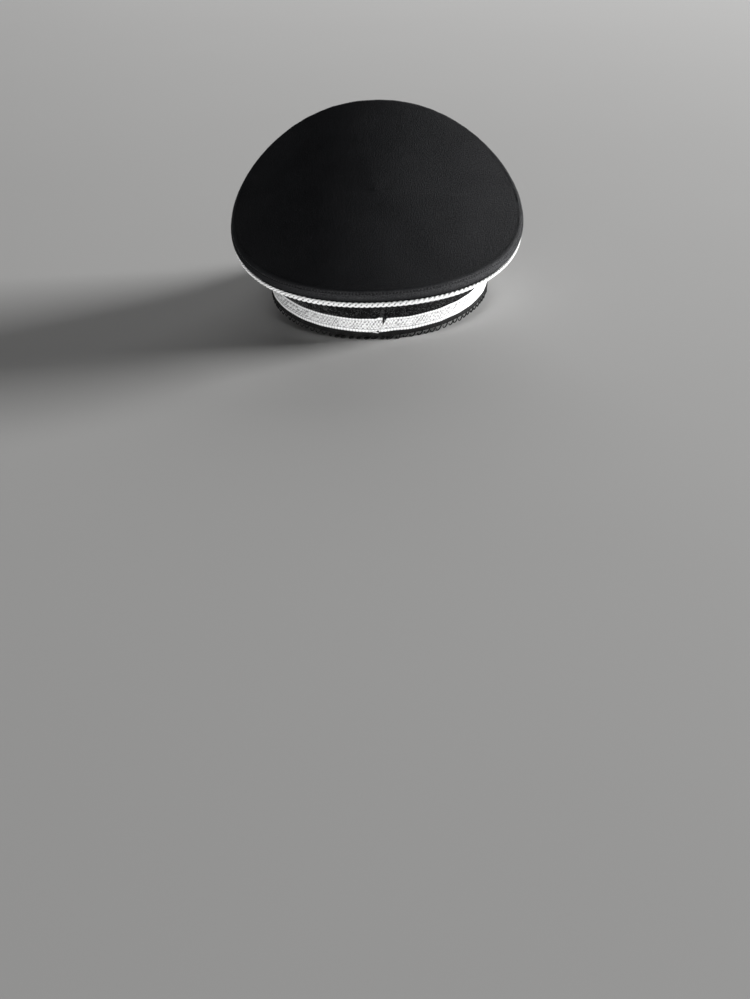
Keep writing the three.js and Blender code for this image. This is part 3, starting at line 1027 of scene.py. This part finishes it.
# How high the woven threads stand at each place of the ribbon, and their share of the full height, which
# also paints shade into the low places
def laceRelief(along, across):
    beat = along / lace["pitch"]
    upperMiddle = lace["tall"] - lace["upperEdge"] / 2
    lower = beadedEdge(across, lace["selvage"] / 2, lace["selvage"], beat, 0.3)
    upper = beadedEdge(across, upperMiddle, lace["upperEdge"], beat, 0.35)
    inside = (across - lace["selvage"]) / (lace["tall"] - lace["selvage"] - lace["upperEdge"])
    toLap = np.minimum(along, bandLine.length - along)
    # ribs in chevrons, which turn into rows of beads in places and near the lap
    turned = along * lace["degreesPerMm"]
    drift = 0.12 * unevenness(turned, 84, 30, 110) + 0.1 * unevenness(turned + across * 9, 85, 20, 60)
    step = along / lace["chevron"] + drift
    row = (across - lace["selvage"]) / lace["bead"]
    chevron = np.cos(2 * np.pi * (step + np.abs(((inside * 2) % 2) - 1) * 1.3))
    beads = 0.5 * (np.cos(2 * np.pi * (step + row / 2)) + np.cos(2 * np.pi * (step - row / 2 + 0.5)))
    beaded = smoothStep(unevenness(turned + across * 3, 86, 4, 30), 0.15, 0.75)
    beaded = np.maximum(beaded, 0.45 + 0.55 * smoothStep(toLap, 15, 75))
    field = np.clip(0.5 + 0.5 * (chevron * (1 - beaded) + 1.7 * beads * beaded), 0, 1)
    # no two threads are pulled equally tight
    aside = smoothStep(toLap, 25, 75)
    tight = atCrossing(87, 0.2, 1.9, 16, 512, row * 2, step * 2)
    field = np.clip(1 - (0.8 - 0.4 * aside) * (1 - field) * tight, 0, 1)
    # towards the sides some crossings gape
    gapAlong, gapRow = step * 0.6 + row * 0.5, row * 0.9 + 0.5
    gaping = atCrossing(88, 0.0, 1.6, 16, 256, gapRow, gapAlong)
    away = (gapAlong % 1 - 0.5) ** 2 + (gapRow % 1 - 0.5) ** 2
    field = field * (1 - aside * np.clip(gaping, 0, 1) * np.clip(1.6 - 7 * away, 0, 1))
    field = field * np.clip(np.minimum(inside, 1 - inside) * 14, 0, 1)
    height = lace["selvageLift"] * lower + lace["upperLift"] * upper + lace["ribLift"] * field
    return height, np.clip(lower + upper + 0.76 * field, 0, 1)


def makeLace():
    tall, length = lace["tall"], bandLine.length
    across = np.linspace(tall, 0, 29)
    base = np.linspace(0, length, lace["columns"])[:, None]
    # the left end stops under the right one, which is cut on a slant
    along = base + np.interp(across, *lace["leftEnd"]) * np.clip(1 - base / 7, 0, 1)
    along = along + np.interp(across, *lace["rightEnd"]) * np.clip(1 - (length - base) / 11, 0, 1)
    height, share = laceRelief(along, np.broadcast_to(across, along.shape))
    degrees = along * 360 / length
    lift = 1 - smoothStep(length - along, *lace["lapReach"])
    lift = lace["lapLift"] * lift * (1 - smoothStep(across, *lace["lapTop"]))
    lift = lift + 0.1 * (unevenness(degrees, 81, 10, 40) + 1)
    front = capForm["gap"] + lace["base"] + height + lift
    # tab at the top of the left end, scallops along the top
    rise = 1.0 * (1 - smoothStep(along, 2.7, 3.6)) * smoothStep(across, 8.0, tall)
    beads = np.abs(np.sin(np.pi * along / lace["pitch"])) ** 0.7
    edges = smoothStep(across, 9.6, tall) - 0.8 * (1 - smoothStep(across, 0, 1.2))
    # the left end has dropped a little under the right one
    sway = lace["sway"] * unevenness(degrees, 82, 5, 30)
    sway = sway - 0.65 * (1 - smoothStep(along, 4, 26)) * (1 - smoothStep(across, 5, 9))
    sway = sway + 1.5 * (1 - smoothStep(along, 2.4, 6.5)) * (1 - smoothStep(across, 0, 3.5))
    heights = lace["bottom"] + across + rise + lace["scallop"] * beads * edges + sway
    outer = bandPoint(bandLine.at(along), front, heights)
    rows = [0, 7, 14, 21, 28]
    inner = bandPoint(bandLine.at(along[:, rows]), capForm["gap"] + lift[:, rows], heights[:, rows])
    lay = pairs(along, across)
    marks = {"relief": closeWall(share, np.zeros((len(along), len(rows))))}
    grid = closeWall(outer, inner)
    return wallPiece("laceRibbon", grid, closeWall(lay, lay[:, rows]), laceMaterial, marks, sharpAngle=70)


# White thread ends at the cut end of the ribbon
def makeLaceEnds():
    random = np.random.default_rng(83)
    count = lace["looseEnds"]
    share = np.linspace(0, 1, 6)
    height = lace["bottom"] + random.uniform(0.3, 10.4, count)
    cut = bandLine.length + np.interp(height - lace["bottom"], *lace["rightEnd"])
    along = cut[:, None] + share * random.uniform(0.5, 1.5, count)[:, None]
    out = 1.1 + 0.5 * np.sin(share * 2) * random.uniform(0.3, 1.2, count)[:, None]
    heights = height[:, None] + share**1.5 * random.normal(0, 0.7, count)[:, None]
    return bandStrands("laceThreads", along, out, heights, lace["looseRadius"], 5, whiteThread)


# The edge cord of the left end has come loose and points down past the right end's corner
def makeLaceTail():
    share = np.linspace(0, 1, 60)
    along = 10.0 - lace["tailLength"] * share
    height = lace["bottom"] + 0.8 - 1.75 * share**1.3
    out = 0.45 + 0.85 * share**0.5
    radii = lace["tailRadius"] * (1 - 0.6 * share**6) * (1 + 0.16 * np.cos(2 * np.pi * along / 1.3))
    return bandStrands("laceTail", along[None], out, height, radii, 8, whiteThread)


laceMaterial = makeMaterial("silverLace", laceLook)
whiteThread = makeThread("whiteThread", (0.9, 0.9, 0.9), 0.6)
lacePiece = makeLace()
laceEndPiece = makeLaceEnds()
laceTailPiece = makeLaceTail()
print("Lace ribbon and its lap made")

# Braid on the lower edge: a plaited strip with hooked loops hanging from it

braid = {
    "stripTop": 5.9,
    "stripBottom": 2.6,
    "columns": 1600,
    "plait": 3.1,
    "lift": 0.4,
    "base": 0.55,
    "middleLift": 0.35,
    "loopPitch": 6.2,
    "loopRoute": (
        (-3.3, -2.9, -2.2, -1.2, 0.1, 1.3, 1.95, 1.75, 1.0),
        (3.3, 2.1, 0.9, -0.2, -0.95, -0.85, -0.1, 0.65, 0.75),
    ),
    "loopTop": 3.2,
    "loopOut": 0.85,
    "loopSplay": 2.1,
    "loopClear": 0.4,
    "overPeak": 66,
    "loopRadius": 0.56,
    "cordRadius": 0.42,
    "cordHeight": 2.75,
    "cordTwist": 1.55,
}
braidLook = {
    "surface": {"Sheen Weight": 0.01, "Sheen Roughness": 0.4, "Specular IOR Level": 0.05},
    "weave": {"Threads per mm": 1.9, "Slant": 1.0, "Unevenness": 0.4},
    "nap": {"Fibre mm": 0.4, "Patch mm": 7.0, "Dust": 0.4},
    # painted shade: darker where the weave's relief is low, in the grooves
    "threads": ("weave Height", (0.0016, 0.0016, 0.0018), (0.0070, 0.0070, 0.0070)),
    "layers": [
        ("nap Mottle", 0, 1, 1, (0.011, 0.011, 0.011)),
        ("nap Dust", 0, 1, 1, (0.07, 0.07, 0.065)),
    ],
    "roughness": ("weave Thread Tone", 0, 1, 0.52, 0.72),
    "bumps": [("weave Height", 0.09, 1.0), ("nap Height", 0.08, 0.8)],
}


def makeBraid():
    tall = braid["stripTop"] - braid["stripBottom"]
    across = np.linspace(tall, 0, 12)
    along = (np.arange(braid["columns"]) * bandLine.length / braid["columns"])[:, None]
    beat = along * round(bandLine.length / braid["plait"]) / bandLine.length
    share = across / tall
    rising = np.cos(2 * np.pi * (beat + share))
    falling = np.cos(2 * np.pi * (beat - share))
    plait = np.where(share > 0.5, np.maximum(rising, 0.6 * falling), np.maximum(falling, 0.6 * rising))
    edge = np.sin(np.pi * np.clip(share, 0.04, 0.96)) ** 0.5
    front = braid["base"] + braid["lift"] * (plait * 0.5 + 0.5) ** 0.7 * edge + braid["middleLift"] * edge
    wobble = 0.1 * unevenness(along * 360 / bandLine.length, 91, 30, 90)
    heights = braid["stripBottom"] + across + wobble
    heights = heights - 0.25 * np.cos(2 * np.pi * beat) * (1 - share) ** 2
    degrees = bandLine.at(along)
    rows = [0, 6, 11]
    outer = bandPoint(degrees, front, heights)
    inner = bandPoint(degrees, capForm["gap"], heights[:, rows])
    lay = pairs(along, across)
    grid, lay = closeWall(outer, inner), closeWall(lay, lay[:, rows])
    return wallPiece("braidStrip", grid, lay, braidMaterial, ring=True, period=bandLine.length)


# A smooth curve through evenly numbered points
def smoothRoute(at, values):
    index = np.clip(np.floor(at).astype(int), 0, len(values) - 2)
    part = (at - index)[:, None]
    padded = np.concatenate([[2 * values[0] - values[1]], values, [2 * values[-1] - values[-2]]])
    a, b, c, d = (padded[index + k] for k in range(4))
    return 0.5 * (
        2 * b + (c - a) * part + (2 * a - 5 * b + 4 * c - d) * part**2 + (3 * b - a - 3 * c + d) * part**3
    )


# Each loop leaves the strip, slants down and hooks back up at its end. Its route is a row of
# distances along the band and a row of heights.
def makeLoops():
    random = np.random.default_rng(92)
    count = round(bandLine.length / braid["loopPitch"])
    share = np.linspace(0, 1, 19)
    corners = np.array(list(zip(*braid["loopRoute"])))
    route = smoothRoute(share * (len(corners) - 1), corners)
    middle = np.arange(count) * bandLine.length / count + random.normal(0, 0.35, count)
    wide = random.uniform(0.8, 1.12, count)[:, None]
    drop = random.uniform(0.78, 1.05, count)[:, None]
    along = middle[:, None] + route[:, 0] * wide + random.normal(0, 0.25, count)[:, None] * share
    heights = braid["loopTop"] - (braid["loopTop"] - route[:, 1]) * drop
    along = along % bandLine.length
    degrees = bandLine.at(along)
    # the loops are pressed flat on the table at the back, and lie over the peak at the front
    onPeak = np.cos(np.radians(degrees)) > math.cos(math.radians(braid["overPeak"]))
    clear = braid["loopClear"]
    lowest = np.where(onPeak, clear, restingHeight(bandPoint(degrees, 1.5, 0)[..., 1], clear))
    out = braid["loopOut"] + random.normal(0, 0.12, count)[:, None] * np.sin(np.pi * share)
    out = out + braid["loopSplay"] * np.maximum(lowest - heights, 0)
    radii = braid["loopRadius"] * (1 - 0.45 * share**3) * random.uniform(0.88, 1.1, count)[:, None]
    heights = np.maximum(heights, lowest)
    return bandStrands("braidLoops", along, out, heights, radii, 8, braidMaterial)


# A smaller strand that runs through the loops' feet
def makeLoopCord():
    along = np.linspace(0, bandLine.length, 1400, endpoint=False)
    phase = 2 * np.pi * along * round(bandLine.length / braid["cordTwist"]) / bandLine.length
    out = braid["loopOut"] + 0.14 * np.cos(phase)
    heights = braid["cordHeight"] + 0.2 * np.sin(phase)
    radius = braid["cordRadius"]
    return bandStrands("loopCord", along[None], out, heights, radius, 6, braidMaterial, closed=True)


braidMaterial = makeMaterial("blackBraid", braidLook)
braidPiece = makeBraid()
loopPiece = makeLoops()
loopCordPiece = makeLoopCord()
print("Braid and its loops made")

# Peak: a glossy plate with a bound and stitched edge

peak = {
    "halfAngle": 62,
    "reach": 48,
    "endReach": 2,
    "thickness": 2.4,
    "fullness": 0.75,
    "arch": 1.2,
    "edgeRise": 3.2,
    "weltWidth": 2.2,
    "weltTop": 2.5,
    "rootWidth": 1.8,
    "binding": 3.5,
    "bindingLift": 0.35,
    "columns": 181,
    "stitchPitch": 3.2,
    "stitchAt": 0.78,
    "stitchRadius": 0.2,
}
peakLook = {
    "surface": {"Coat Weight": 0.55, "Coat Roughness": 0.12, "Specular IOR Level": 0.4},
    "nap": {"Fibre mm": 3.5, "Patch mm": 22.0, "Dust": 0.25},
    "rubbed": {"Amount": 0.7, "Grain mm": 1.2},
    "colour": (0.0065, 0.0065, 0.0072),
    "layers": [
        ("rubbed Worn", 0, 1, 1, (0.030, 0.029, 0.028)),
        ("nap Dust", 0, 1, 1, (0.1, 0.1, 0.1)),
    ],
    "roughness": ("nap Mottle", 0, 1, 0.20, 0.34),
    "wornRoughness": 0.4,
    "bumps": [("nap Height", 0.12, 0.35)],
}


def peakPlate(share):
    degrees = share * peak["halfAngle"]
    full = np.cos(share * np.pi / 2).clip(0) ** peak["fullness"]
    reach = peak["endReach"] + (peak["reach"] - peak["endReach"]) * full
    root = np.minimum(peak["rootWidth"], reach / 3)
    binding = np.minimum(peak["binding"], reach / 3)
    soleEnd = -capForm["gap"] - peak["thickness"]
    endPoint = bandPoint(np.array(float(peak["halfAngle"])), peak["endReach"], soleEnd)
    endRest = heightAtRest(endPoint[1], endPoint[2])
    edgeRest = endRest * np.abs(share) ** peak["edgeRise"] - capForm["restSink"]
    return degrees, reach, root, binding, edgeRest


def plateTop(share, out):
    degrees, reach, root, binding, edgeRest = peakPlate(share)
    edge = restingHeight(bandPoint(degrees, reach, 0)[..., 1], edgeRest)
    drop = edge + capForm["gap"] + peak["thickness"]
    part = np.clip((out - root) / (reach - root), 0, 1)
    return -capForm["gap"] + drop * part ** peak["arch"]


def bindingLift(binding):
    return peak["bindingLift"] * np.minimum(binding / peak["binding"], 1)


def makePeak():
    share = np.linspace(-1, 1, peak["columns"])[:, None]
    degrees, reach, root, binding, edgeRest = peakPlate(share)
    thick, gap = peak["thickness"], capForm["gap"]
    rim = np.array([0.03, 0.08, 0.16, 0.28, 0.42, 0.56, 0.68, 0.78, 0.86, 0.92, 0.965, 0.99, 1])
    start = reach - binding
    outs = np.concatenate([root + (start - root) * np.linspace(0, 1, 26), start + binding * rim], 1)
    rimShare = np.concatenate([np.zeros(26), rim])
    top = plateTop(share, outs)
    under = np.maximum(top - thick, restingHeight(bandPoint(degrees, outs, 0)[..., 1], edgeRest))
    top = top + bindingLift(binding) * np.clip(rimShare / 0.16, 0, 1) ** 0.5 * (rimShare > 0)
    rounding = 1 - np.sqrt(1 - np.clip((rimShare - 0.62) / 0.38, 0, 1) ** 2)
    middle = (top + under) / 2
    crest = top - (top - middle) * rounding
    sole = under + (middle - under) * rounding * 0.98
    # the welt is the inner edge, sewn up behind the band
    welt = peak["weltWidth"]
    weltOut, weltTop = [-welt, 0, 0], [peak["weltTop"], peak["weltTop"], -gap]
    weltUnderOut, weltUnder = [-welt, -welt / 2, 0], [-gap - thick] * 3

    def withWelt(own, values):
        return np.concatenate([np.broadcast_to(np.array(own, float), (len(share), 3)), values], 1)

    upper = bandPoint(degrees, withWelt(weltOut, outs), withWelt(weltTop, crest))
    lower = bandPoint(degrees, withWelt(weltUnderOut, outs), withWelt(weltUnder, sole))
    grid = closeWall(upper, lower)
    rub = np.concatenate([np.zeros(3), hump(rimShare - 0.85, 0.14) * (rimShare > 0)])
    marks = {"rub": np.concatenate([rub, rub[::-1] * 0.5])}
    return wallPiece("peakPlate", grid, grid[..., :2], peakLeather, marks, sharpAngle=38)


def makePeakStitches():
    def rowAt(share):
        degrees, reach, root, binding, edgeRest = peakPlate(share)
        out = reach - binding * peak["stitchAt"]
        return degrees, out, plateTop(share, out), binding

    share = np.linspace(-0.985, 0.985, 4001)
    degrees, out, height, binding = rowAt(share)
    line = bandPoint(degrees, out, height)
    run = np.concatenate([[0], np.cumsum(np.linalg.norm(np.diff(line, axis=0), axis=1))])
    count = int(run[-1] / peak["stitchPitch"])
    middle = (np.arange(count) + 0.5) * run[-1] / count
    part = np.linspace(-1, 1, 7)
    degrees, out, height, binding = rowAt(np.interp(middle[:, None] + part * 1.05, run, share))
    lift = bindingLift(binding) + 0.08 - 0.4 * part**4
    paths = bandPoint(degrees, out, height + lift)
    facing = np.broadcast_to(np.array([0, 0.3, 1.0]), paths.shape)
    return strandPiece("peakStitches", paths, peak["stitchRadius"], facing, 6, blackThread)


peakLeather = makeMaterial("patentLeather", peakLook)
peakPiece = makePeak()
peakStitchPiece = makePeakStitches()
print("Peak made")

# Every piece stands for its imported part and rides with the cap

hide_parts("top_panel")
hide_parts("crown_piping")
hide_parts("band")
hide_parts("lace_band")
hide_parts("edge_trim")
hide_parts("peak")
for node, piece in quarterPieces.items():
    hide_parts(node)
slots = {
    "crown_cloth": [topPiece, topStitchPiece, *quarterPieces.values()],
    "band_cloth": [bandPiece, napPiece, frayedPiece],
    "white_cord": [pipingPiece],
    "silver_lace": [lacePiece, laceEndPiece, laceTailPiece],
    "black_braid": [braidPiece, loopPiece, loopCordPiece],
    "peak_leather": [peakPiece, peakStitchPiece],
}
for slot, pieces in slots.items():
    for piece in pieces:
        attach(piece, "root")
print("Pieces placed:", sum(len(pieces) for pieces in slots.values()))

# Studio: a pale floor and four soft lights far off, all low: a broad key light from the right,
# one behind the camera, a large one from the front and a weak one from the left

studio = {
    "floorSize": 6.4,
    "floorColour": (0.55, 0.547, 0.54),
    "floorMottle": 0.97,
    "floorPatches": 3.0,
    "skyColour": (0.86, 0.87, 0.88),
    "skyStrength": 0.022,
    "skySeen": 0.50,
    "aimHeight": 0.08,
    "lights": {
        "keyLight": {"at": (8.32, 2.34, 1.2), "size": 4.9, "tall": 0.88, "power": 2480},
        "cameraLight": {"at": (-1.3, -7.67, 0.18), "size": 5.2, "tall": 0.31, "power": 760},
        "frontLight": {"at": (1.6, 7.7, 1.6), "size": 8, "tall": 2.6, "power": 420},
        "leftLight": {"at": (-6.76, -4.16, 0.18), "size": 3.1, "tall": 0.31, "power": 15},
    },
}


def makeFloor():
    half = studio["floorSize"] / 2
    corners = [(-half, -half, 0), (half, -half, 0), (half, half, 0), (-half, half, 0)]
    mesh = bpy.data.meshes.new("floor")
    mesh.from_pydata(corners, [], [(0, 1, 2, 3)])
    material, tree, shader, place = newMaterial("paleFloor", {"Specular IOR Level": 0.2, "Roughness": 0.9})
    pale = tuple(studio["floorMottle"] * part for part in studio["floorColour"])
    patches = noise(tree, place, studio["floorPatches"], 2.0)
    colour = blend(tree, patches, pale, studio["floorColour"])
    tree.links.new(colour, shader.inputs["Base Color"])
    mesh.materials.append(material)
    floor = addObject("floor", mesh)


def makeLights():
    for name, rig in studio["lights"].items():
        data = bpy.data.lights.new(name, "AREA")
        data.shape = "RECTANGLE"
        data.size = rig["size"]
        data.size_y = rig["tall"]
        data.energy = rig["power"]
        light = addObject(name, data)
        light.location = rig["at"]
        toCap = Vector((0, 0, studio["aimHeight"])) - Vector(rig["at"])
        light.rotation_euler = toCap.to_track_quat("-Z", "Y").to_euler()
    world = bpy.data.worlds.new("studioAir")
    world.use_nodes = True
    tree = world.node_tree
    madeTrees.append(tree)
    air = tree.nodes["Background"]
    air.inputs["Color"].default_value = (*studio["skyColour"], 1)
    rays = addNode(tree, "ShaderNodeLightPath").outputs["Is Camera Ray"]
    seen = spread(tree, rays, 0, 1, studio["skyStrength"], studio["skySeen"])
    tree.links.new(seen, air.inputs["Strength"])
    bpy.context.scene.world = world


# Camera: behind the cap and a little above it, as the photograph was taken
viewpoint = {
    "elevation": 16.8,
    "distance": 1.6,
    "focalPixels": 1849,
    "imageHeight": 999,
    "sensor": 36,
    "roll": 2.31,
    "leftOfCap": 4.5,
    "belowCap": 214.5,
}


def turnPair(first, second, angle):
    cosine, sine = math.cos(angle), math.sin(angle)
    return first * cosine - second * sine, first * sine + second * cosine


def makeCamera():
    climb = math.radians(viewpoint["elevation"])
    right = Vector((1, 0, 0))
    up = Vector((0, math.sin(climb), math.cos(climb)))
    ahead = Vector((0, math.cos(climb), -math.sin(climb)))
    spot = Vector((0, restShift, restLift)) / 1000 - ahead * viewpoint["distance"]
    right, up = turnPair(right, up, math.radians(viewpoint["roll"]))
    up, ahead = turnPair(up, ahead, -math.atan(viewpoint["belowCap"] / viewpoint["focalPixels"]))
    right, ahead = turnPair(right, ahead, -math.atan(viewpoint["leftOfCap"] / viewpoint["focalPixels"]))
    data = bpy.data.cameras.new("camera")
    data.sensor_width = viewpoint["sensor"]
    data.lens = viewpoint["sensor"] * viewpoint["focalPixels"] / viewpoint["imageHeight"]
    camera = addObject("camera", data)
    camera.matrix_world = Matrix.Translation(spot) @ Matrix((right, up, -ahead)).transposed().to_4x4()
    bpy.context.scene.camera = camera


# Nodes in columns, from the inputs at the left to the output at the right
def setOut(tree):
    column = {node.name: 0 for node in tree.nodes}
    for turn in range(len(column)):
        for link in tree.links:
            column[link.from_node.name] = max(column[link.from_node.name], column[link.to_node.name] + 1)
    filled = {}
    for node in tree.nodes:
        place = column[node.name]
        filled[place] = filled.get(place, 0) + 1
        node.location = (-220 * place, -240 * filled[place])


makeFloor()
makeLights()
makeCamera()
for tree in madeTrees:
    setOut(tree)
bpy.context.scene.view_settings.view_transform = "Standard"
print("Floor, lights and camera set")
